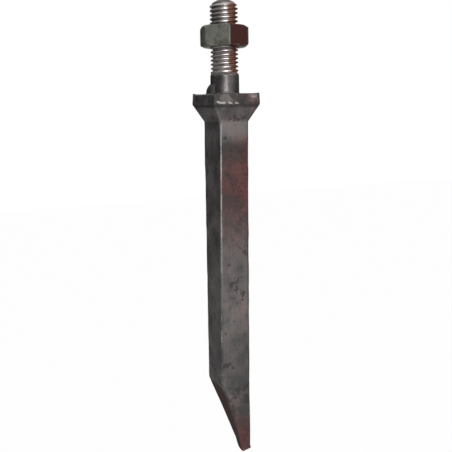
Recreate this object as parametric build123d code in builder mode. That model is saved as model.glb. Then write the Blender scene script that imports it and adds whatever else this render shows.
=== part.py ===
from build123d import *
import math
import os

# Forged harrow tine with its nut, in millimetres.
# The origin is the centre of the collar's top face, which seats against the harrow bar. +Z runs up the stud.
# The broad front face looks along -Y. The point is cut from the -X and +Y sides, so it ends at the +X, -Y edge.

# Threaded stud and the plain neck under it
thread_diameter = 14.0
thread_pitch = 2.0
stud_length = 46.2
stud_end_radius = 8.8
neck_diameter = 14.6
neck_length = 8.2
neck_cone_length = 1.2
thread_first_turn = 10.57
thread_depth = 0.6134 * thread_pitch
thread_root_width = thread_pitch / 4
thread_crest_width = thread_pitch / 8
groove_overcut = 1.05
groove_turns = 4

# Nib that keeps the tine from turning in its hole
nib_reach = 9.3
nib_width = 5.5
nib_height = 4.6
nib_shoulder = 0.5
nib_round = 5.2
nib_root = 2.0

# Square collar, with a little draft and not quite true with the stud, and the flare under it
collar_top_width = 25.8
collar_width = 26.3
collar_shift = (0.3, -0.15)
collar_rim_height = 5.5
collar_corner_radius = 1.2
flare_height = 8.5

# Square bar, drawn with a slight twist and lean
bar_width = 16.6
bar_tip_width = 16.9
bar_corner_radius = 0.8
bar_top_turn = 5.2
bar_tip_turn = -3.0
bar_top_shift = (0.27, -0.16)
bar_lean = 0.2
tine_reach = 192.2

# Point, cut by two shallow curves and left blunt: the side cut is hollow and the back cut bellied
side_cut_height = 39.9
side_cut_hollow = 0.6
back_cut_height = 41.7
back_cut_belly = 2.8
tip_width = 4.3
tip_depth = 3.2
tip_slope = 13.0

# Nut, and how far the stud stands out above it
nut_across_flats = 22.0
nut_height = 10.5
nut_end_gap = 12.9
nut_turn = 16.0
nut_chamfer_angle = 30.0
nut_face_share = 0.95
nut_bore_clearance = 0.05
nut_mouth = 0.6

# Places worked out from the sizes above
thread_radius = thread_diameter / 2
neck_radius = neck_diameter / 2
thread_root_radius = thread_radius - thread_depth
dome_height = stud_end_radius - math.sqrt(stud_end_radius**2 - thread_radius**2)
flare_bottom = -(collar_rim_height + flare_height)
bar_run = tine_reach + flare_bottom
tip_shift = (bar_top_shift[0] - bar_run * math.tan(math.radians(bar_lean)), bar_top_shift[1])
tip_half = bar_tip_width / 2
nut_seat = stud_length - nut_end_gap - nut_height
cut_margin = 10.0


# Upright plane on the bar's axis at the point. Its x runs to the right, seen from the front or from the +X side.
def point_plane(from_side):
    turn = math.radians(bar_tip_turn + (90 if from_side else 0))
    return Plane(
        origin=(tip_shift[0], tip_shift[1], 0),
        x_dir=(math.cos(turn), math.sin(turn), 0),
        z_dir=(math.sin(turn), -math.cos(turn), 0),
    )


# Tine: stud and neck turned, with the collar, flare and bar below them
with BuildPart() as tine:
    with BuildSketch(Plane.YZ):
        with BuildLine():
            Line((0, -collar_rim_height), (neck_radius, -collar_rim_height))
            Line((neck_radius, -collar_rim_height), (neck_radius, neck_length))
            Line((neck_radius, neck_length), (thread_radius, neck_length + neck_cone_length))
            Line((thread_radius, neck_length + neck_cone_length), (thread_radius, stud_length - dome_height))
            RadiusArc((thread_radius, stud_length - dome_height), (0, stud_length), -stud_end_radius)
            Line((0, stud_length), (0, -collar_rim_height))
        make_face()
    revolve(axis=Axis.Z)

    # Thread groove: a trapezoid swept up the helix, from the run-out to past the stud's end, a few turns at a time
    flank_rise = (thread_pitch - thread_crest_width - thread_root_width) / 2
    groove_depth = thread_depth * groove_overcut
    groove_half_mouth = thread_root_width / 2 + flank_rise * groove_overcut
    groove_lift = groove_turns * thread_pitch
    groove_count = math.ceil((stud_length + thread_pitch - thread_first_turn) / groove_lift)
    for k in range(groove_count):
        start_height = thread_first_turn + k * groove_lift
        with BuildLine(mode=Mode.PRIVATE) as groove_path:
            Helix(thread_pitch, groove_lift, thread_root_radius, center=(0, 0, start_height))
        groove_start = Plane(origin=groove_path.line @ 0, x_dir=(1, 0, 0), z_dir=groove_path.line % 0)
        with BuildSketch(groove_start, mode=Mode.PRIVATE) as groove:
            with BuildLine():
                Polyline(
                    (0, -thread_root_width / 2),
                    (groove_depth, -groove_half_mouth),
                    (groove_depth, groove_half_mouth),
                    (0, thread_root_width / 2),
                    close=True,
                )
            make_face()
        sweep(groove.sketch, path=groove_path.line, is_frenet=True, mode=Mode.SUBTRACT)

    # Nib on the neck's -X side, seen from the front
    with BuildSketch(Plane.XZ):
        with BuildLine():
            Line((-neck_radius + nib_root, -collar_rim_height / 2), (-nib_reach, -collar_rim_height / 2))
            Line((-nib_reach, -collar_rim_height / 2), (-nib_reach, nib_shoulder))
            RadiusArc((-nib_reach, nib_shoulder), (-neck_radius, nib_height), nib_round)
            Line((-neck_radius, nib_height), (-neck_radius + nib_root, nib_height))
            Line((-neck_radius + nib_root, nib_height), (-neck_radius + nib_root, -collar_rim_height / 2))
        make_face()
    extrude(amount=nib_width / 2, both=True)

    # Collar rim, drafted, down to the flare
    collar_top = Plane(origin=(collar_shift[0], collar_shift[1], 0))
    collar_bottom = collar_top.offset(-collar_rim_height)
    with BuildSketch(collar_top):
        RectangleRounded(collar_top_width, collar_top_width, collar_corner_radius)
    with BuildSketch(collar_bottom):
        RectangleRounded(collar_width, collar_width, collar_corner_radius)
    loft(ruled=True)

    # Flare, from the rim to the bar's own turn and place
    bar_top = Plane(origin=(bar_top_shift[0], bar_top_shift[1], flare_bottom))
    with BuildSketch(collar_bottom):
        RectangleRounded(collar_width, collar_width, collar_corner_radius)
    with BuildSketch(bar_top):
        RectangleRounded(bar_width, bar_width, bar_corner_radius, rotation=bar_top_turn)
    loft(ruled=True)

    # Bar, with its twist and lean
    with BuildSketch(bar_top):
        RectangleRounded(bar_width, bar_width, bar_corner_radius, rotation=bar_top_turn)
    with BuildSketch(Plane(origin=(tip_shift[0], tip_shift[1], -tine_reach))):
        RectangleRounded(bar_tip_width, bar_tip_width, bar_corner_radius, rotation=bar_tip_turn)
    loft(ruled=True)

    # Side cut of the point and its blunt, sloping end, seen from the front
    tip_left = (tip_half - tip_width, -tine_reach)
    tip_right = (tip_half + cut_margin, -tine_reach + (tip_width + cut_margin) * math.tan(math.radians(tip_slope)))
    with BuildSketch(point_plane(from_side=False)):
        with BuildLine():
            side_curve = SagittaArc((-tip_half, side_cut_height - tine_reach), tip_left, side_cut_hollow)
            side_lead = Line(side_curve @ 0, side_curve @ 0 - cut_margin * (side_curve % 0))
            Polyline(
                side_curve @ 1,
                tip_right,
                (tip_half + cut_margin, -tine_reach - cut_margin),
                (-tip_half - cut_margin, -tine_reach - cut_margin),
                side_lead @ 1,
            )
        make_face()
    extrude(amount=bar_width + cut_margin, both=True, mode=Mode.SUBTRACT)

    # Back cut of the point, seen from the +X side
    with BuildSketch(point_plane(from_side=True)):
        with BuildLine():
            back_curve = SagittaArc(
                (tip_half, back_cut_height - tine_reach),
                (tip_depth - tip_half, -tine_reach),
                back_cut_belly,
            )
            back_lead = Line(back_curve @ 0, back_curve @ 0 - cut_margin * (back_curve % 0))
            Polyline(
                back_curve @ 1,
                (tip_depth - tip_half, -tine_reach - cut_margin),
                (tip_half + cut_margin, -tine_reach - cut_margin),
                back_lead @ 1,
            )
        make_face()
    extrude(amount=bar_width + cut_margin, both=True, mode=Mode.SUBTRACT)

# Nut: a hexagon with both faces chamfered round, and a plain bore that clears the thread's crests
with BuildPart() as nut:
    bore_radius = thread_radius + nut_bore_clearance
    nut_corner_radius = nut_across_flats / math.sqrt(3)
    chamfer_radius = nut_across_flats / 2 * nut_face_share
    chamfer_drop = (nut_corner_radius - chamfer_radius) * math.tan(math.radians(nut_chamfer_angle))
    with BuildSketch(Plane.XY.offset(nut_seat)):
        RegularPolygon(nut_across_flats / 2, 6, major_radius=False, rotation=nut_turn)
    extrude(amount=nut_height)
    with BuildSketch(Plane.YZ):
        with BuildLine():
            Polyline(
                (bore_radius + nut_mouth, nut_seat),
                (chamfer_radius, nut_seat),
                (nut_corner_radius, nut_seat + chamfer_drop),
                (nut_corner_radius, nut_seat + nut_height - chamfer_drop),
                (chamfer_radius, nut_seat + nut_height),
                (bore_radius + nut_mouth, nut_seat + nut_height),
                (bore_radius, nut_seat + nut_height - nut_mouth),
                (bore_radius, nut_seat + nut_mouth),
                close=True,
            )
        make_face()
    revolve(axis=Axis.Z, mode=Mode.INTERSECT)

os.makedirs("parts", exist_ok=True)
for name, piece in (("tine", tine), ("nut", nut)):
    piece.part.label = name
    export_step(piece.part, f"parts/{name}.step")
    print(name, round(piece.part.volume, 1), piece.part.is_valid, len(piece.part.solids()))
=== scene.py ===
import math
import bpy
from mathutils import Matrix, Vector, noise


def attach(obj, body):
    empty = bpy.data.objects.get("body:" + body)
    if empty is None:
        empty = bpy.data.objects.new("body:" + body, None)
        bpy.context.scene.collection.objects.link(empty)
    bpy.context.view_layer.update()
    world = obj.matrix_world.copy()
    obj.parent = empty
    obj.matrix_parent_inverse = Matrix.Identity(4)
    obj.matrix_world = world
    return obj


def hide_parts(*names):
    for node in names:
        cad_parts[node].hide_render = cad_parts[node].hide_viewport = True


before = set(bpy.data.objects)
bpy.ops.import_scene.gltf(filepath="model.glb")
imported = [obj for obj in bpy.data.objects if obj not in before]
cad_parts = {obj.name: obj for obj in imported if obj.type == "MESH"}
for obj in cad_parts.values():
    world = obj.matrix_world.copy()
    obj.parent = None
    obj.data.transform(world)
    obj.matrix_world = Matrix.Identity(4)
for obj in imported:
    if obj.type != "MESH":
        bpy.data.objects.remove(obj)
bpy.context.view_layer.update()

# Sizes are in millimetres, in the frame's own axes, unless said otherwise. MM turns them into metres
MM = 0.001

# Camera, solved from the photograph's outline
SENSOR_MM = 36.0
PHOTO_PIXELS = 452
FOCAL_PIXELS = 691.48
CAMERA_AZIMUTH = -26.705
CAMERA_DISTANCE = 357.55
CAMERA_HEIGHT = -6.058
CAMERA_PITCH = 9.857
CAMERA_PAN = -0.082
CAMERA_ROLL = -0.89

# Stud, neck and nib
THREAD_RADIUS = 7.0
THREAD_PITCH = 2.0
THREAD_DEPTH = 1.2268
STUD_TOP = 46.2
DOME_RADIUS = 8.8
DOME_DEPTH = 2.0
NECK_RADIUS = 7.3
NECK_TOP = 8.2
FIRST_TURN = 10.57
NIB_REACH = 9.3
NIB_HALF_WIDTH = 2.75
NIB_TOP = 4.6
NIB_SHOULDER = 0.5
NIB_ROUND = 5.2
NIB_SPAN = math.radians(23)

# Collar, flare and bar
COLLAR_TOP_HALF = 12.9
COLLAR_HALF = 13.15
COLLAR_SHIFT = (0.3, -0.15)
COLLAR_RIM = 5.5
COLLAR_CORNER = 1.2
FLARE_BOTTOM = -14.0
BAR_HALF = 8.3
BAR_TIP_HALF = 8.45
BAR_CORNER = 0.8
BAR_TOP_TURN = 5.2
BAR_TIP_TURN = -3.0
BAR_TOP_SHIFT = (0.27, -0.16)
BAR_LEAN = 0.2
TIP = -192.2

# Point
SIDE_CUT_TOP = -152.3
SIDE_CUT_HOLLOW = 0.6
BACK_CUT_TOP = -150.5
BACK_CUT_BELLY = 2.8
TIP_WIDTH = 4.3
TIP_DEPTH = 3.2
TIP_SLOPE = math.tan(math.radians(13.0))
SPREAD = 0.38
BURR = 0.5
BURR_HEIGHT = -190.6
BURR_WIDTH = 1.2

# Nut
NUT_APOTHEM = 11.0
NUT_BOTTOM = 22.8
NUT_HEIGHT = 10.5
NUT_TURN = 16.0
NUT_FACE_RADIUS = 10.45
NUT_CHAMFER = math.tan(math.radians(30))
NUT_THREAD_GAP = 0.06
NUT_CREST_REACH = 0.45
NUT_MOUTH = 0.75
NUT_RIM = 1.5
NUT_RIM_STEP = 0.11
NUT_FLAT_STEP = 0.6
NUT_SIDE_COLUMNS = 18

# Roundings, and where the thread and the neck run out
SEAT_FILLET = 0.6
COLLAR_EDGE = 0.55
RIM_EDGE = 0.12
THREAD_FADE = (FIRST_TURN - 2.2, FIRST_TURN + 1.6)
NECK_CONE = (NECK_TOP - 0.2, NECK_TOP + 3.2)
THREAD_FLANK = (0.20, 0.84)

# Spacing of the skin's rings up the tine, the heights where it changes, and counts of evenly blended rings
DOME_STEP = math.radians(3.6)
THREAD_STEP = 0.125
NECK_STEP = 0.22
RIM_STEP = 0.35
BAR_STEP = 0.8
POINT_STEP = 0.6
POINT_START = -150.0
TIP_START = -186.0
LOWER_POINT = (-158.0, TIP_START)
ROUNDING_RINGS = 4
SEAT_RINGS = 13
FLARE_RINGS = 25
TIP_RINGS = 12

# The hammer's waves: reach, size and seed
WAVES = ((0.16, 11.0, 1), (0.07, 3.6, 2))

# The collar's left edge sags and two of its top corners are lifted: x, y, lift and spread
EDGE_SAG = -0.42
SAG_X = (-8.5, -12.6)
SAG_Y = (8.5, 12.0)
SAG_Z = (-2.0, -0.1)
CORNER_LIFTS = ((-12.4, 12.4, 0.5, 1.3), (12.7, -12.7, 0.35, 1.0))
LIFT_Z = (-1.5, -0.2)

# Where the rust lies, as angles round the stud and the nut. On these sides the rust also stands in for a
# painted reddish reflection.
STUD_RUST_AND_REFLECTION_ANGLE = -50.0
NUT_RUST_AND_REFLECTION_ANGLE = -74.0

# Finish of the bar by height. A ramp is (amount, height where it starts, height where it is full).
# A bump is (amount, height of its middle, half width).
BACK_RUST = ((0.30, -52.0, 26.0),)
FRONT_RUST = ((0.58, -46.0, 22.0),)
FRONT_DARK_BAND = ((0.50, -27.0, 5.5),)
FRONT_FLAKES = ((0.18, -28.0, 8.0), (0.45, -163.0, 12.0), (0.18, -99.0, 7.0))
FRONT_RIGHT_FLAKES = ((0.33, -84.0, 7.0),)
BACK_RUST_RAMPS = ((0.40, *LOWER_POINT),)
FRONT_RUST_RAMPS = ((0.44, *LOWER_POINT), (0.10, -62.0, -76.0))
FRONT_LEFT_RAMPS = ((0.16, -96.0, -120.0),)
FRONT_BRIGHT_RAMPS = (
    (0.26, -62.0, -86.0),
    (-0.16, -110.0, -145.0),
    (-0.06, -108.0, -126.0),
    (-0.36, -160.0, TIP_START),
)
# Heights where the top of the front face is painted lighter, as a painted reflection
FRONT_TOP_PAINTED_REFLECTION = (-34.0, -18.0)
FRONT_TOP_REFLECTION_END = (-12.5, -14.5)
LEFT_BRIGHT_RAMPS = ((0.16, -66.0, -96.0),)
# Where the front-left edge's bare worn strip starts; the strip also stands in for a painted highlight line
LEFT_EDGE_WEAR_AND_HIGHLIGHT_START = (-13.5, -16.0)
EDGE_WEAR_END = (POINT_START, -156.0)
# Where that worn strip and painted highlight line fade out
LEFT_EDGE_WEAR_AND_HIGHLIGHT_FADE = (-66.0, -98.0)
LEFT_EDGE_DARK = ((0.32, -80.0, -104.0),)
# Where the rust on the front-right edge ends; this rust and the edge's darkening stand in for a painted dark
# reddish reflection, with some real rust
RIGHT_EDGE_RUST_AND_REFLECTION_END = (-78.0, -104.0)
# The point's cut face and its edges: darker, as painted shade, and rustier
SIDE_CUT_SHADE_AND_RUST = ((1.0, -152.0, -156.0),)
SIDE_CUT_EDGE_SHADE_AND_RUST = ((0.6, -154.0, -158.0),)
# Height of the painted shade just under the collar's rim, on the top of the flare
RIM_SHADE_HEIGHT = -5.9

# A crack in the front's scale, which rises to the right, and the chips along the collar's front
CRACK_HEIGHT = -142.0
CRACK_RISE = 8.5
CRACK_WANDER = 2.4
CRACK_WIDTH = 0.95
CHIP_HEIGHT = -COLLAR_RIM + 0.75
CHIP_WANDER = 0.9
CHIP_END = (-1.0, 2.5)

# Colours and surface of the finishes
POLISHED = (0.50, 0.46, 0.45)
# Copper-brown of the stud's rusty side, which also stands in for a painted reddish reflection
COPPER_RUST_AND_REFLECTION = (0.205, 0.088, 0.054)
PIT_DARK = (0.020, 0.015, 0.013)
FLAKE_DARK = (0.022, 0.018, 0.016)
SPECULAR_LEVEL = 0.28
BUMP_STRENGTH = 0.5
BUMP_HEIGHT = 0.2

# Room: the floor, its share of white that the camera sees, and the world's light on the object
FLOOR_HEIGHT = -480.0
FLOOR_REACH = 3000.0
FLOOR_GLOW = 0.98
AMBIENT = 0.35

# Lamps: azimuth and elevation in degrees, distance, width and height in metres, and power in watts
LAMPS = {
    "key": (-14, 12, 1.3, 0.34, 1.1, 13),
    "fill": (35, 40, 1.6, 1.2, 1.2, 4),
}
LAMP_AIM = (0, 0, -70)

# Black cards round the object, seen only in its reflections: azimuths in degrees, sizes in metres
FLAG_ARCS = ((-188, -45), (45, 134))
FLAG_DISTANCE = 0.9
FLAG_FOOT = -0.7
FLAG_HEAD = 0.6
LOW_FLAG_ARC = (145, 212)
LOW_FLAG_REACH = (0.28, 0.85)
LOW_FLAG_HEIGHT = -0.47


# Small helpers for shapes
def mix(a, b, share):
    return a + (b - a) * share


def smooth(low, high, value):
    share = min(1.0, max(0.0, (value - low) / (high - low)))
    return share * share * (3 - 2 * share)


def steps(start, end, spacing):
    count = max(1, round(abs(end - start) / spacing))
    return [mix(start, end, k / count) for k in range(count)]


def bump_at(value, centre, width):
    return math.exp(-((value - centre) / width) ** 2)


def ramps(value, terms):
    return sum(amount * smooth(start, full, value) for amount, start, full in terms)


def bumps(value, terms):
    return sum(amount * bump_at(value, middle, width) for amount, middle, width in terms)


def wander(point, size, seed):
    """Smooth noise of about -0.5 to 0.5, with waves of a size in millimetres."""
    return noise.noise(Vector(point) / size + Vector((seed * 17.3, seed * 5.1, seed * 9.7)))


def place(name, data):
    """New object in the scene."""
    piece = bpy.data.objects.new(name, data)
    bpy.context.scene.collection.objects.link(piece)
    return piece


# Columns of the tine's skin: each ring has the same count of points, close together at the four corners
SIDE_COLUMNS = 26
CORNER_COLUMNS = 8

# Parts of a ring, in its order: the corners have even numbers and the faces odd ones
FRONT_RIGHT, RIGHT, BACK_RIGHT, BACK, BACK_LEFT, LEFT, FRONT_LEFT, FRONT = range(8)


def box_outline(left, right, front, back, radius):
    """Ring of a rounded rectangle, from the +X, -Y corner round to the +X side again."""
    corners = ((right, front, -90), (right, back, 0), (left, back, 90), (left, front, 180))
    inward = ((-1, 1), (-1, -1), (1, -1), (1, 1))
    ring = []
    for k, (x, y, start) in enumerate(corners):
        centre = Vector((x + inward[k][0] * radius, y + inward[k][1] * radius))
        for c in range(CORNER_COLUMNS + 1):
            angle = math.radians(start + 90 * c / CORNER_COLUMNS)
            ring.append(centre + radius * Vector((math.cos(angle), math.sin(angle))))
        following = corners[(k + 1) % 4]
        way = inward[(k + 1) % 4]
        next_centre = Vector((following[0] + way[0] * radius, following[1] + way[1] * radius))
        end_angle = math.radians(following[2])
        side_end = next_centre + radius * Vector((math.cos(end_angle), math.sin(end_angle)))
        side_start = ring[-1].copy()
        for c in range(1, SIDE_COLUMNS):
            ring.append(side_start.lerp(side_end, c / SIDE_COLUMNS))
    return ring


COLLAR_RING = box_outline(-COLLAR_HALF, COLLAR_HALF, -COLLAR_HALF, COLLAR_HALF, COLLAR_CORNER)
ANGLES = [math.atan2(p.y, p.x) for p in COLLAR_RING]


# Tine: the radius of the stud, neck and nib at an angle and height
def thread_dip(angle, height):
    """How far the thread lies under its crest: 0 on the crest, 1 at the root."""
    turn = (height - FIRST_TURN) / THREAD_PITCH - angle / (2 * math.pi)
    across = abs((turn % 1.0) - 0.5) * 2
    return smooth(*THREAD_FLANK, across)


def stud_radius(angle, height):
    top = min(max(0.0, STUD_TOP - height), DOME_RADIUS)
    dome = math.sqrt(2 * DOME_RADIUS * top - top * top)
    spin = (angle / (2 * math.pi)) * THREAD_PITCH * 0.4
    fade = smooth(THREAD_FADE[0] + spin, THREAD_FADE[1] + spin, height)
    core = mix(NECK_RADIUS, THREAD_RADIUS, smooth(*NECK_CONE, height))
    crest = core - THREAD_DEPTH * fade * thread_dip(angle, height)
    return min(crest, dome)


def nib_radius(angle, height):
    """Reach of the nib's end, or 0 beside and above it, so that the neck shows there."""
    away = abs(math.remainder(angle - math.pi, 2 * math.pi))
    if height > NIB_TOP or away > NIB_SPAN:
        return 0.0
    drop = max(0.0, height - NIB_SHOULDER)
    reach = NIB_REACH - NIB_ROUND + math.sqrt(NIB_ROUND**2 - drop * drop)
    side = NIB_HALF_WIDTH / max(0.05, math.sin(away)) if away > 0 else 99.0
    face = reach / math.cos(away)
    return face if face <= side else 0.0


def stud_ring(height, fillet=0.0):
    ring = []
    for angle in ANGLES:
        radius = max(stud_radius(angle, height), nib_radius(angle, height)) + fillet
        ring.append(Vector((radius * math.cos(angle), radius * math.sin(angle), height)))
    return ring


# Tine: forging marks
def forged(point):
    """A point of the tine's skin moved by the hammer's soft waves and the dents at the collar."""
    x, y, z = point
    if z > 0.5:
        return point
    depth = 0.5 + 0.5 * smooth(-1.0, -16.0, z)
    away = sum(reach * wander(point, size, seed) for reach, size, seed in WAVES)
    out = Vector((x, y, 0))
    if out.length > 0.1 and z < -0.2:
        out.normalize()
        point = point + out * away * depth
    rise = EDGE_SAG * smooth(*SAG_X, x) * (1 - smooth(*SAG_Y, y)) * smooth(*SAG_Z, z)
    for corner_x, corner_y, lift, spread in CORNER_LIFTS:
        near = math.exp(-((x - corner_x) ** 2 + (y - corner_y) ** 2) / spread)
        rise += lift * near * smooth(*LIFT_Z, z)
    point.z += rise
    return point


# Tine: the bar's section at a height, cut away towards the point
def arc_offset(height, top, bottom, start, end, bulge):
    """Place of a shallow arc between (start, top) and (end, bottom), at a height."""
    if height >= top:
        return start
    share = min(1.0, (top - height) / (top - bottom))
    chord = math.hypot(top - bottom, end - start)
    lift = bulge * 4 * share * (1 - share) * chord / (top - bottom)
    return mix(start, end, share) + lift


def bar_ring(height, level=None):
    """Section of the bar at a height. level, from 0 to 1, tilts it towards the slope of the tine's end."""
    share = (FLARE_BOTTOM - height) / (FLARE_BOTTOM - TIP)
    half = mix(BAR_HALF, BAR_TIP_HALF, share)
    right = half + SPREAD * smooth(*LOWER_POINT, height) + BURR * bump_at(height, BURR_HEIGHT, BURR_WIDTH)
    left = arc_offset(height, SIDE_CUT_TOP, TIP, -half, half - TIP_WIDTH, SIDE_CUT_HOLLOW)
    back = arc_offset(height, BACK_CUT_TOP, TIP, half, TIP_DEPTH - half, BACK_CUT_BELLY)
    radius = min(BAR_CORNER, 0.45 * (half - left), 0.45 * (back + half))
    turn = math.radians(mix(BAR_TOP_TURN, BAR_TIP_TURN, share))
    lean = math.tan(math.radians(BAR_LEAN)) * (FLARE_BOTTOM - height)
    ring = []
    for p in box_outline(left, right, -half, back, radius):
        x = p.x * math.cos(turn) - p.y * math.sin(turn) + BAR_TOP_SHIFT[0] - lean
        y = p.x * math.sin(turn) + p.y * math.cos(turn) + BAR_TOP_SHIFT[1]
        z = height
        if level is not None:
            z = mix(height, TIP + (p.x - half + TIP_WIDTH) * TIP_SLOPE, level)
        ring.append(Vector((x, y, z)))
    return ring


def blend_rings(a, b, share, height=None):
    ring = [p.lerp(q, share) for p, q in zip(a, b)]
    if height is not None:
        for p in ring:
            p.z = height
    return ring


def collar_ring(height, inset):
    half = mix(COLLAR_TOP_HALF, COLLAR_HALF, -height / COLLAR_RIM) - inset
    outline = box_outline(-half, half, -half, half, COLLAR_CORNER)
    return [Vector((p.x + COLLAR_SHIFT[0], p.y + COLLAR_SHIFT[1], height)) for p in outline]


def tine_rings():
    rings = []
    # Rounded end of the stud
    for k in range(1, 12):
        height = STUD_TOP - DOME_RADIUS * (1 - math.cos(DOME_STEP * k))
        if height > STUD_TOP - DOME_DEPTH:
            rings.append(stud_ring(height))
    # Thread and neck
    for height in steps(STUD_TOP - DOME_DEPTH - 0.05, THREAD_FADE[0], THREAD_STEP):
        rings.append(stud_ring(height))
    for height in steps(THREAD_FADE[0], SEAT_FILLET, NECK_STEP):
        rings.append(stud_ring(height))
    # Fillet onto the collar's top
    for k in range(ROUNDING_RINGS + 1):
        angle = math.radians(90 * k / ROUNDING_RINGS)
        rings.append(stud_ring(SEAT_FILLET * (1 - math.sin(angle)), SEAT_FILLET * (1 - math.cos(angle))))
    for p in rings[-1]:
        p.z = 0.0
    # Collar's top face, rim, and the flare into the bar
    seat = rings[-1]
    edge = collar_ring(0.0, COLLAR_EDGE)
    for k in range(1, SEAT_RINGS):
        rings.append(blend_rings(seat, edge, k / SEAT_RINGS, 0.0))
    for k in range(ROUNDING_RINGS + 1):
        angle = math.radians(90 * k / ROUNDING_RINGS)
        rings.append(collar_ring(-COLLAR_EDGE * (1 - math.cos(angle)), COLLAR_EDGE * (1 - math.sin(angle))))
    for height in steps(-0.95, -(COLLAR_RIM - 0.5), RIM_STEP):
        rings.append(collar_ring(height, 0.0))
    rim = collar_ring(-COLLAR_RIM, RIM_EDGE)
    bar = bar_ring(FLARE_BOTTOM)
    rings.append(rim)
    for k in range(1, FLARE_RINGS):
        rings.append(blend_rings(rim, bar, k / FLARE_RINGS))
    # Bar and point
    for height in steps(FLARE_BOTTOM, POINT_START, BAR_STEP):
        rings.append(bar_ring(height))
    for height in steps(POINT_START, TIP_START, POINT_STEP):
        rings.append(bar_ring(height))
    for k in range(TIP_RINGS + 1):
        rings.append(bar_ring(mix(TIP_START, TIP, k / TIP_RINGS), k / TIP_RINGS))
    return rings


def skin(name, rings, closed_loop=False):
    """Closed skin from rings of points, with a fan over each end or joined into a loop."""
    count = len(rings[0])
    points = [p for ring in rings for p in ring]
    faces = []
    pairs = len(rings) if closed_loop else len(rings) - 1
    for r in range(pairs):
        upper = r * count
        lower = ((r + 1) % len(rings)) * count
        for c in range(count):
            d = (c + 1) % count
            faces.append((upper + c, lower + c, lower + d, upper + d))
    if not closed_loop:
        for ring_index in (0, len(rings) - 1):
            ring = rings[ring_index]
            centre = sum(ring, Vector()) / count
            points.append(centre)
            hub = len(points) - 1
            start = ring_index * count
            for c in range(count):
                d = (c + 1) % count
                face = (start + c, start + d, hub)
                faces.append(face if ring_index == 0 else face[::-1])
    mesh = bpy.data.meshes.new(name)
    mesh.from_pydata([p * MM for p in points], [], faces)
    mesh.validate()
    mesh.shade_smooth()
    return place(name, mesh)


def paint(piece, marks):
    """Keeps each point's worn, rusty, bright, smooth and flaky shares on the mesh, for the finish. Some
    shares also carry painted highlights, reflections and shade.
    """
    shares = [[min(1.0, max(0.0, value)) for value in mark] for mark in marks]
    layer = piece.data.attributes.new("marks", "FLOAT_COLOR", "POINT")
    for k, share in enumerate(shares):
        layer.data[k].color = share[:4]
    layer = piece.data.attributes.new("flaky", "FLOAT", "POINT")
    for k, share in enumerate(shares):
        layer.data[k].value = share[4]


# Marks of the finish, as worn, rusty, bright, smooth and flaky shares. Some of these marks also paint
# highlights, reflections and shade, as said where they are laid.
def stud_marks(point):
    x, y, z = point
    angle = math.atan2(y, x)
    side = math.cos(angle - math.radians(STUD_RUST_AND_REFLECTION_ANGLE))
    above = smooth(NECK_TOP - 0.2, 11.0, z)
    # Rust on the stud's right side, which also stands in for a painted reddish reflection there
    rusty = smooth(0.40, 1.02, side + 0.24 * wander(point, 2.6, 5)) * above
    bright = 0.38 + 0.15 * wander(point, 5.0, 3)
    if math.hypot(x, y) > NECK_RADIUS + 0.3:
        return 0.0, 0.1, 0.1, 0.0, 0.2
    if z > STUD_TOP - DOME_DEPTH + 0.1:
        return 0.0, 0.35 + 0.5 * wander(point, 2.5, 5), bright, 0.35, 0.36
    crest = 1.0 - thread_dip(angle, z)
    worn = (0.50 + 0.7 * crest + 0.2 * wander(point, 2.0, 12)) * above
    # Less worn steel on the stud's left side above the nut, which paints that side darker: painted shade
    worn -= 0.45 * smooth(30.0, 36.0, z) * smooth(0.3, -0.2, side)
    return worn, rusty, bright, mix(1.0, 0.45 + 0.55 * crest, above), 0.12


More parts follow.
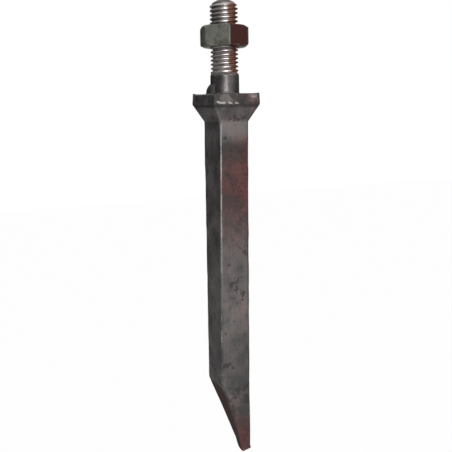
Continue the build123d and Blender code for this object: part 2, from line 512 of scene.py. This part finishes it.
def bar_marks(point, part, across):
    """Marks of the bar and the flare. across runs from 0 to 1 over a face or corner, in the ring's order."""
    z = point.z
    patch = wander(point, 7.0, 6)
    rusty = 0.10 + 0.18 * patch
    bright = 0.15 + 0.2 * patch
    flaky = 0.21
    worn = 0.0
    if part % 2 == 0:
        worn = (0.24 + 0.5 * wander(point, 9.0, 7)) * bump_at(across, 0.5, 0.35)
        if part == FRONT_LEFT:
            # Bare worn strip along the front-left edge, fading lower down; it also stands in for a painted
            # highlight line along this edge
            length = (1 - smooth(*LEFT_EDGE_WEAR_AND_HIGHLIGHT_FADE, z)) * smooth(*LEFT_EDGE_WEAR_AND_HIGHLIGHT_START, z)
            worn += 0.55 * bump_at(across, 0.5, 0.40) * length
            rusty *= 0.4
            bright -= ramps(z, LEFT_EDGE_DARK)
        if part == FRONT_RIGHT:
            # The front-right edge is painted dark, with rust on its upper part: painted dark reddish
            # reflection, with some real rust
            rusty += 0.30 * (1 - smooth(*RIGHT_EDGE_RUST_AND_REFLECTION_END, z))
            bright -= 0.5
            worn *= 0.2
        worn *= 1 - smooth(*EDGE_WEAR_END, z)
    if part in (RIGHT, BACK_RIGHT, BACK):
        bright += 0.28
        rusty += bumps(z, BACK_RUST) * smooth(-0.3, 0.3, patch) + ramps(z, BACK_RUST_RAMPS)
    if part in (FRONT_RIGHT, FRONT_LEFT, FRONT):
        rusty += bumps(z, FRONT_RUST) * (0.75 + 0.25 * across) + ramps(z, FRONT_RUST_RAMPS)
        # Lighter towards the top of the front face: painted reflection
        bright += 0.50 * smooth(*FRONT_TOP_PAINTED_REFLECTION, z) * smooth(*FRONT_TOP_REFLECTION_END, z)
        bright += ramps(z, FRONT_BRIGHT_RAMPS) + (1 - across) * ramps(z, FRONT_LEFT_RAMPS)
        bright -= bumps(z, FRONT_DARK_BAND) * (0.6 + 0.4 * across)
        flaky = 0.11 + bumps(z, FRONT_FLAKES) + across * bumps(z, FRONT_RIGHT_FLAKES)
    if part == FRONT:
        crack = CRACK_HEIGHT + CRACK_RISE * smooth(0.45, 1.0, across)
        crack += CRACK_WANDER * wander((point.x, 0, 0), 2.0, 18)
        flaky += (1.0 - 0.35 * smooth(0.45, 0.70, across)) * bump_at(z, crack, CRACK_WIDTH)
    if part in (BACK_LEFT, LEFT, FRONT_LEFT):
        # The point's cut face and its edges: darker, as painted shade, and rustier
        dark = ramps(z, SIDE_CUT_SHADE_AND_RUST if part == LEFT else SIDE_CUT_EDGE_SHADE_AND_RUST)
        bright += 0.12 + ramps(z, LEFT_BRIGHT_RAMPS) - 0.6 * dark
        rusty += 0.45 * dark - 0.06
    if z > FLARE_BOTTOM:
        # Dark line just under the collar's rim: painted shade, with some dark flakes
        rim_shade = bump_at(z, RIM_SHADE_HEIGHT, 0.75) * (0.75 + 0.5 * wander(point, 3.0, 16))
        bright += 0.14 - 0.9 * rim_shade
        rusty += 0.08
        flaky = 0.27 + 0.7 * rim_shade
        worn = 0.0
    return worn, rusty, bright, 0.0, flaky


def collar_marks(point, part, across):
    x, z = point.x, point.z
    patch = wander(point, 4.0, 8)
    worn = 0.0
    rusty = 0.12 + 0.3 * patch
    bright = 0.15 + 0.3 * patch
    if part == FRONT:
        rusty += 0.30 * smooth(-4.0, 6.0, x)
        bright += 0.27 - 0.40 * bump_at(x, 3.5, 3.0)
        # Chips: a broken line of bare steel near the rim's foot, on the left
        line = (x, 0, 0)
        edge = CHIP_HEIGHT + CHIP_WANDER * wander(line, 3.0, 14)
        chips = bump_at(z, edge, 0.5 + 0.25 * wander(line, 1.7, 15)) * (1 - smooth(*CHIP_END, x))
        worn += 1.45 * chips * smooth(-0.45, 0.1, wander(line, 2.6, 9) + 0.1)
        # Lighter bare patch at the top right of the rim's front: painted highlight
        worn += 0.58 * bump_at(x, 9.5, 3.0) * bump_at(z, -1.4, 1.5)
        # Dark line at the rim's foot: painted shade
        bright -= 0.5 * bump_at(z, -COLLAR_RIM, 0.35)
    if part == LEFT:
        bright += 0.05
        rusty -= 0.10
    if part % 2 == 0:
        worn += 0.20 * bump_at(across, 0.5, 0.4) * (0.5 + wander(point, 3.0, 4))
    return worn, rusty, bright, 0.0, 0.54 if part == FRONT else 0.3


def tine_marks(rings):
    span = SIDE_COLUMNS + CORNER_COLUMNS
    marks = []
    for ring in rings:
        for column, point in enumerate(ring):
            corner, step = divmod(column, span)
            on_corner = step <= CORNER_COLUMNS
            part = 2 * corner + (0 if on_corner else 1)
            across = step / CORNER_COLUMNS if on_corner else (step - CORNER_COLUMNS) / SIDE_COLUMNS
            if math.hypot(point.x, point.y) < NIB_REACH + 0.5 and point.z > 0.02:
                marks.append(stud_marks(point))
            elif point.z > -COLLAR_RIM - 0.01:
                marks.append(collar_marks(point, part, across))
            else:
                marks.append(bar_marks(point, part, across))
    return marks


def make_tine():
    plain_rings = tine_rings()
    marks = tine_marks(plain_rings)
    rings = [[forged(p.copy()) for p in ring] for ring in plain_rings]
    tine = skin("forged_tine", rings)
    # The last two points are the hubs of the skin's ends
    paint(tine, marks + [marks[0], marks[-1]])
    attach(tine, "tine")
    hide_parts("tine")
    return tine


# Nut
def nut_radius(angle, height):
    turn = math.radians(NUT_TURN)
    flat = math.remainder(angle - turn - math.pi / 6, math.pi / 3)
    hexagon = NUT_APOTHEM / math.cos(flat)
    rise = min(height - NUT_BOTTOM, NUT_BOTTOM + NUT_HEIGHT - height)
    return min(hexagon, NUT_FACE_RADIUS + rise / NUT_CHAMFER)


def nut_marks(point):
    x, y, z = point
    angle = math.degrees(math.atan2(y, x))
    corner = abs(math.remainder(angle - NUT_TURN, 60.0)) * NUT_APOTHEM * math.pi / 180
    patch = wander(point, 3.0, 11)
    worn = 0.0
    if math.hypot(x, y) > NUT_APOTHEM - 1.0:
        specks = smooth(0.05, 0.35, wander(point, 1.6, 13))
        worn = 0.32 * bump_at(corner, 0.0, 0.55) * (0.75 + patch)
        worn += 0.6 * bump_at(z - NUT_BOTTOM, 0.8, 0.4) * specks
    # One face of the nut is rusted dark red; this face also stands in for a painted reddish reflection
    rust_and_reflection_face = 1 - smooth(27.0, 29.5, abs(math.remainder(angle - NUT_RUST_AND_REFLECTION_ANGLE, 360.0)))
    rusty = 0.10 + 0.2 * patch + 0.95 * rust_and_reflection_face * (1 - 0.8 * bump_at(corner, 0.0, 0.5))
    return worn, rusty, 0.45 + 0.2 * patch, 0.0, 0.24


def make_nut():
    # Columns, a little closer together at the corners
    columns = []
    for side in range(6):
        for k in range(NUT_SIDE_COLUMNS):
            share = k / NUT_SIDE_COLUMNS
            eased = 0.5 - 0.5 * math.cos(math.pi * share) * (0.55 + 0.45 * abs(2 * share - 1))
            columns.append(math.radians(NUT_TURN + 60 * side + 60 * mix(share, eased, 0.6)))
    # Outside, from the bottom up, as (radius, angle, height)
    top = NUT_BOTTOM + NUT_HEIGHT
    rises = steps(0.0, NUT_RIM, NUT_RIM_STEP)
    rises += steps(NUT_RIM, NUT_HEIGHT - NUT_RIM, NUT_FLAT_STEP)
    rises += steps(NUT_HEIGHT - NUT_RIM, NUT_HEIGHT, NUT_RIM_STEP) + [NUT_HEIGHT]
    outer = []
    for rise in rises:
        height = NUT_BOTTOM + rise
        outer.append([(nut_radius(a, height), a, height) for a in columns])
    # Threaded bore, from the top down, with a wider mouth at both ends
    bore = []
    for height in steps(top, NUT_BOTTOM, THREAD_STEP) + [NUT_BOTTOM]:
        mouth = max(0.0, NUT_MOUTH - min(top - height, height - NUT_BOTTOM))
        ring = []
        for a in columns:
            radius = THREAD_RADIUS + NUT_THREAD_GAP - (THREAD_DEPTH - 0.1) * thread_dip(a, height)
            ring.append((max(radius, THREAD_RADIUS - NUT_CREST_REACH + mouth), a, height))
        bore.append(ring)
    middle_top = [((outer[-1][k][0] + bore[0][k][0]) / 2, a, top) for k, a in enumerate(columns)]
    middle_low = [((outer[0][k][0] + bore[-1][k][0]) / 2, a, NUT_BOTTOM) for k, a in enumerate(columns)]
    rings = []
    for ring in [middle_low] + outer + [middle_top] + bore:
        rings.append([Vector((r * math.cos(a), r * math.sin(a), z)) for r, a, z in ring])
    rings.reverse()
    nut = skin("hexagon_nut", rings, closed_loop=True)
    paint(nut, [nut_marks(p) for ring in rings for p in ring])
    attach(nut, "nut")
    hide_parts("nut")
    return nut


# Camera
def place_camera():
    azimuth = math.radians(CAMERA_AZIMUTH)
    pan = math.radians(CAMERA_PAN)
    pitch = math.radians(CAMERA_PITCH)
    roll = math.radians(CAMERA_ROLL)
    level_right = Vector((math.cos(azimuth), math.sin(azimuth), 0))
    level_ahead = Vector((-math.sin(azimuth), math.cos(azimuth), 0))
    ahead_flat = level_ahead * math.cos(pan) + level_right * math.sin(pan)
    right_flat = level_right * math.cos(pan) - level_ahead * math.sin(pan)
    ahead = ahead_flat * math.cos(pitch) - Vector((0, 0, 1)) * math.sin(pitch)
    up_flat = Vector((0, 0, 1)) * math.cos(pitch) + ahead_flat * math.sin(pitch)
    right = right_flat * math.cos(roll) + up_flat * math.sin(roll)
    up = up_flat * math.cos(roll) - right_flat * math.sin(roll)
    data = bpy.data.cameras.new("camera")
    data.sensor_width = SENSOR_MM
    data.sensor_fit = "HORIZONTAL"
    data.lens = FOCAL_PIXELS / PHOTO_PIXELS * SENSOR_MM
    data.clip_start = 0.01
    camera = place("camera", data)
    eye = -level_ahead * CAMERA_DISTANCE * MM
    eye.z = CAMERA_HEIGHT * MM
    turn = Matrix((right, up, -ahead)).transposed()
    camera.matrix_world = Matrix.Translation(eye) @ turn.to_4x4()
    bpy.context.scene.camera = camera


# Finishes: procedural, in millimetres of the object's own space
class Finish:
    """A material under construction, with the part's marks and small helpers that add nodes to it."""

    def __init__(self, name):
        self.material = bpy.data.materials.new(name)
        self.material.use_nodes = True
        tree = self.material.node_tree
        self.nodes, self.links = tree.nodes, tree.links
        self.shader = self.nodes["Principled BSDF"]
        coordinates = self.nodes.new("ShaderNodeTexCoord")
        self.point = self.scaled(coordinates.outputs["Object"], (1 / MM, 1 / MM, 1 / MM))
        marks = self.nodes.new("ShaderNodeAttribute")
        marks.attribute_name = "marks"
        split = self.nodes.new("ShaderNodeSeparateColor")
        self.links.new(marks.outputs["Color"], split.inputs[0])
        self.worn, self.rusty, self.bright = split.outputs
        self.smoothed = marks.outputs["Alpha"]
        flaky = self.nodes.new("ShaderNodeAttribute")
        flaky.attribute_name = "flaky"
        self.flaky = flaky.outputs["Fac"]

    def put(self, socket, value):
        """Links an output to the socket, or sets a plain value on it."""
        if isinstance(value, bpy.types.NodeSocket):
            self.links.new(value, socket)
        else:
            socket.default_value = value

    def scaled(self, vector, scale):
        node = self.nodes.new("ShaderNodeMapping")
        self.put(node.inputs["Vector"], vector)
        node.inputs["Scale"].default_value = scale
        return node.outputs[0]

    def noise(self, size, detail=4.0, rough=0.55, stretch=(1, 1, 1)):
        node = self.nodes.new("ShaderNodeTexNoise")
        self.put(node.inputs["Vector"], self.scaled(self.point, stretch))
        node.inputs["Scale"].default_value = 1.0 / size
        node.inputs["Detail"].default_value = detail
        node.inputs["Roughness"].default_value = rough
        return node.outputs["Fac"]

    def cells(self, size):
        node = self.nodes.new("ShaderNodeTexVoronoi")
        self.put(node.inputs["Vector"], self.point)
        node.inputs["Scale"].default_value = 1.0 / size
        return node.outputs["Distance"]

    def sum(self, *terms):
        """Sum of (value, factor) pairs."""
        total = 0.0
        for value, factor in terms:
            node = self.nodes.new("ShaderNodeMath")
            node.operation = "MULTIPLY_ADD"
            self.put(node.inputs[0], value)
            node.inputs[1].default_value = factor
            self.put(node.inputs[2], total)
            total = node.outputs[0]
        return total

    def band(self, value, low, high, start=0.0, end=1.0):
        """Soft step from start to end, as the value goes from low to high."""
        node = self.nodes.new("ShaderNodeMapRange")
        node.interpolation_type = "SMOOTHSTEP"
        for socket, number in zip(node.inputs, (value, low, high, start, end)):
            self.put(socket, number)
        return node.outputs[0]

    def tint(self, share, a, b):
        """Colour a, turned into colour b by a share."""
        node = self.nodes.new("ShaderNodeMix")
        node.data_type = "RGBA"
        self.put(node.inputs["Factor"], share)
        for socket, value in ((node.inputs["A"], a), (node.inputs["B"], b)):
            self.put(socket, value if isinstance(value, bpy.types.NodeSocket) else (*value, 1.0))
        return node.outputs["Result"]


def steel_finish(name, dark, grey, rust_dark, rust_light, bare, roughness, metal):
    """Scale over grey steel, with rust, pits, flakes and bare edges, and polish and copper on the stud. The
    copper is rust that also stands in for a painted reddish reflection.
    """
    f = Finish(name)
    broad, fine = f.noise(7.0, 5.0), f.noise(1.6, 3.0, 0.5)
    drawn = f.noise(1.1, 3.0, 0.6, (1, 1, 0.09))
    flakes, pits = f.noise(5.5, 7.0, 0.68), f.cells(2.6)
    scale_share = f.band(f.sum((f.bright, 1.0), (broad, 0.5), (fine, 0.25), (drawn, 0.30)), 0.50, 1.35)
    rust_share = f.band(f.sum((f.rusty, 1.0), (broad, 0.35), (fine, 0.3)), 0.38, 1.18)
    rust_tone = f.band(f.sum((fine, 0.6), (broad, 0.5), (f.bright, 0.6)), 0.42, 1.00)
    worn_share = f.band(f.sum((f.worn, 1.0), (fine, 0.7), (drawn, 0.2)), 0.70, 1.30)
    pit_share = f.band(f.sum((pits, 1.0), (broad, 0.9)), 0.42, 0.62, 1.0, 0.0)
    flake_share = f.band(f.sum((flakes, 1.0), (f.flaky, -0.25)), 0.31, 0.37, 1.0, 0.0)
    polish_share = f.band(f.sum((f.smoothed, 1.0), (worn_share, 1.0)), 1.30, 1.95)
    # Copper rust on the stud, which also stands in for a painted reddish reflection
    copper_rust_and_reflection_share = f.band(f.sum((f.smoothed, 1.0), (rust_share, 1.0)), 1.00, 1.85)
    colour = f.tint(scale_share, dark, grey)
    colour = f.tint(rust_share, colour, f.tint(rust_tone, rust_dark, rust_light))
    colour = f.tint(f.sum((pit_share, 0.5)), colour, PIT_DARK)
    colour = f.tint(f.sum((flake_share, 0.75)), colour, FLAKE_DARK)
    colour = f.tint(worn_share, colour, bare)
    colour = f.tint(polish_share, colour, POLISHED)
    colour = f.tint(copper_rust_and_reflection_share, colour, COPPER_RUST_AND_REFLECTION)
    f.put(f.shader.inputs["Base Color"], colour)
    metallic = f.sum((worn_share, 0.3), (1.0, metal), (f.smoothed, 0.55), (rust_share, -0.9 * metal))
    f.put(f.shader.inputs["Metallic"], metallic)
    f.shader.inputs["Specular IOR Level"].default_value = SPECULAR_LEVEL
    rough = f.sum((1.0, roughness), (rust_share, 0.08), (fine, 0.10), (f.smoothed, -0.16))
    f.put(f.shader.inputs["Roughness"], rough)
    relief = f.sum((broad, 0.5), (fine, 0.4), (drawn, 0.25), (pit_share, -0.8), (rust_share, 0.25))
    bump = f.nodes.new("ShaderNodeBump")
    bump.inputs["Strength"].default_value = BUMP_STRENGTH
    bump.inputs["Distance"].default_value = BUMP_HEIGHT * MM
    f.put(bump.inputs["Height"], relief)
    f.put(f.shader.inputs["Normal"], bump.outputs[0])
    return f.material


# Stage
def area_lamp(name, azimuth, elevation, distance, width, height, power):
    data = bpy.data.lights.new(name, "AREA")
    data.shape = "RECTANGLE"
    data.size = width
    data.size_y = height
    data.energy = power
    lamp = place(name, data)
    a, e = math.radians(azimuth), math.radians(elevation)
    way = Vector((math.sin(a) * math.cos(e), -math.cos(a) * math.cos(e), math.sin(e)))
    lamp.location = Vector(LAMP_AIM) * MM + way * distance
    lamp.rotation_euler = (-way).to_track_quat("-Z", "Y").to_euler()


def seen_rays(nodes, links):
    """1 for the rays from the camera and for mirrored or refracted ones, which all show the background."""
    path = nodes.new("ShaderNodeLightPath")
    seen = path.outputs["Is Camera Ray"]
    for kind in ("Is Glossy Ray", "Is Transmission Ray"):
        either = nodes.new("ShaderNodeMath")
        either.operation = "MAXIMUM"
        links.new(seen, either.inputs[0])
        links.new(path.outputs[kind], either.inputs[1])
        seen = either.outputs[0]
    return seen


def blend_shaders(nodes, links, share, plain, shown, surface):
    """Shows one shader to a share of the rays and the plain one to the others."""
    blend = nodes.new("ShaderNodeMixShader")
    links.new(share, blend.inputs[0])
    links.new(plain.outputs[0], blend.inputs[1])
    links.new(shown.outputs[0], blend.inputs[2])
    links.new(blend.outputs[0], surface)


def make_world():
    world = bpy.data.worlds.new("studio")
    bpy.context.scene.world = world
    world.use_nodes = True
    nodes, links = world.node_tree.nodes, world.node_tree.links
    nodes.clear()
    ambient, shown = nodes.new("ShaderNodeBackground"), nodes.new("ShaderNodeBackground")
    for light, strength in ((ambient, AMBIENT), (shown, 1.0)):
        light.inputs["Color"].default_value = (1, 1, 1, 1)
        light.inputs["Strength"].default_value = strength
    output = nodes.new("ShaderNodeOutputWorld")
    blend_shaders(nodes, links, seen_rays(nodes, links), ambient, shown, output.inputs["Surface"])


def flat_material(name, colour):
    """Matt material in one colour, for the stage alone."""
    material = bpy.data.materials.new(name)
    material.use_nodes = True
    shader = material.node_tree.nodes["Principled BSDF"]
    shader.inputs["Base Color"].default_value = colour
    shader.inputs["Roughness"].default_value = 0.9
    return material


def make_floor():
    mesh = bpy.data.meshes.new("floor")
    reach, level = FLOOR_REACH * MM, FLOOR_HEIGHT * MM
    corners = [(x * reach, y * reach, level) for x, y in ((-1, -1), (1, -1), (1, 1), (-1, 1))]
    mesh.from_pydata(corners, [], [(0, 1, 2, 3)])
    floor = place("floor", mesh)
    material = flat_material("pale_floor", (0.85, 0.85, 0.85, 1))
    nodes, links = material.node_tree.nodes, material.node_tree.links
    share = nodes.new("ShaderNodeMath")
    share.operation = "MULTIPLY"
    share.inputs[1].default_value = FLOOR_GLOW
    links.new(seen_rays(nodes, links), share.inputs[0])
    glow = nodes.new("ShaderNodeEmission")
    surface = nodes["Material Output"].inputs["Surface"]
    blend_shaders(nodes, links, share.outputs[0], nodes["Principled BSDF"], glow, surface)
    mesh.materials.append(material)


def arc_flag(name, arc, near, far, low, high):
    """Black card from one azimuth to another, which keeps the white room out of the steel's reflections."""
    corners = []
    for azimuth in steps(*arc, 10) + [arc[1]]:
        a = math.radians(azimuth)
        way = Vector((math.sin(a), -math.cos(a), 0))
        corners += [way * near + Vector((0, 0, low)), way * far + Vector((0, 0, high))]
    faces = [(k, k + 2, k + 3, k + 1) for k in range(0, len(corners) - 2, 2)]
    mesh = bpy.data.meshes.new(name)
    mesh.from_pydata(corners, [], faces)
    mesh.materials.append(flat_material("black_card", (0.02, 0.02, 0.02, 1)))
    flag = place(name, mesh)
    flag.visible_camera = False
    flag.visible_diffuse = False
    flag.visible_shadow = False


tine = make_tine()
nut = make_nut()
tine.data.materials.append(steel_finish(
    "forge_scale",
    dark=(0.037, 0.036, 0.036),
    grey=(0.158, 0.145, 0.142),
    rust_dark=(0.051, 0.013, 0.013),
    rust_light=(0.116, 0.045, 0.037),
    bare=(0.34, 0.32, 0.31),
    roughness=0.46,
    metal=0.12,
))
# The nut's dark red rust colours also paint the face that stands in for a painted reddish reflection
nut.data.materials.append(steel_finish(
    "nut_steel",
    dark=(0.045, 0.046, 0.038),
    grey=(0.160, 0.160, 0.139),
    rust_dark=(0.026, 0.006, 0.004),
    rust_light=(0.038, 0.009, 0.006),
    bare=(0.34, 0.31, 0.27),
    roughness=0.46,
    metal=0.12,
))
place_camera()
make_world()
make_floor()
for arc in FLAG_ARCS:
    arc_flag("side_flag", arc, FLAG_DISTANCE, FLAG_DISTANCE, FLAG_FOOT, FLAG_HEAD)
arc_flag("low_flag", LOW_FLAG_ARC, *LOW_FLAG_REACH, LOW_FLAG_HEIGHT, LOW_FLAG_HEIGHT)
for name, settings in LAMPS.items():
    area_lamp(name, *settings)
bpy.context.scene.view_settings.view_transform = "Standard"
